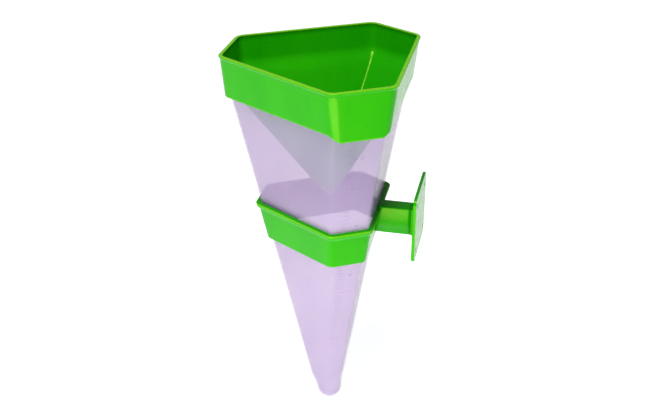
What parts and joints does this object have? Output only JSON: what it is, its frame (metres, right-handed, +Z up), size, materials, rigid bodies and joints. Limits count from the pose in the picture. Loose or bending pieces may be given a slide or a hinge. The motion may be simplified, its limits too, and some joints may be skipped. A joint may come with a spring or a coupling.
{
  "type": "wedge rain gauge",
  "caption": "Wall-mounted wedge rain gauge: a three-sided catch funnel on a tapered measuring vessel, held in a ring on an arm that slides onto a wall plate.",
  "frame": {"origin": "middle of the wall plate's back face, the face that meets the wall", "axes": "+Y out of the plate's back face into the wall, +Z up along the vessel's axis"},
  "size_m": [0.183, 0.1761, 0.369],
  "materials": {
    "green_plastic": "glossy injection-moulded polypropylene, bright green",
    "clear_plastic": "translucent lilac-tinted injection-moulded plastic"
  },
  "bodies": {
    "wall_plate": {"wall_plate": "green_plastic"},
    "holder": {"holder": "green_plastic"},
    "vessel": {"measuring_vessel": "clear_plastic"},
    "funnel": {"catch_funnel": "green_plastic"}
  },
  "joints": [
    {"name": "holder_lift", "type": "slide", "parent": "wall_plate", "child": "holder", "axis": [0, 0, 1], "range_m": [0, 0.028]},
    {"name": "vessel_lift", "type": "slide", "parent": "holder", "child": "vessel", "axis": [0, 0, 1], "range_m": [0, 0.245]},
    {"name": "funnel_lift", "type": "slide", "parent": "vessel", "child": "funnel", "axis": [0, 0, 1], "range_m": [0, 0.12]}
  ]
}
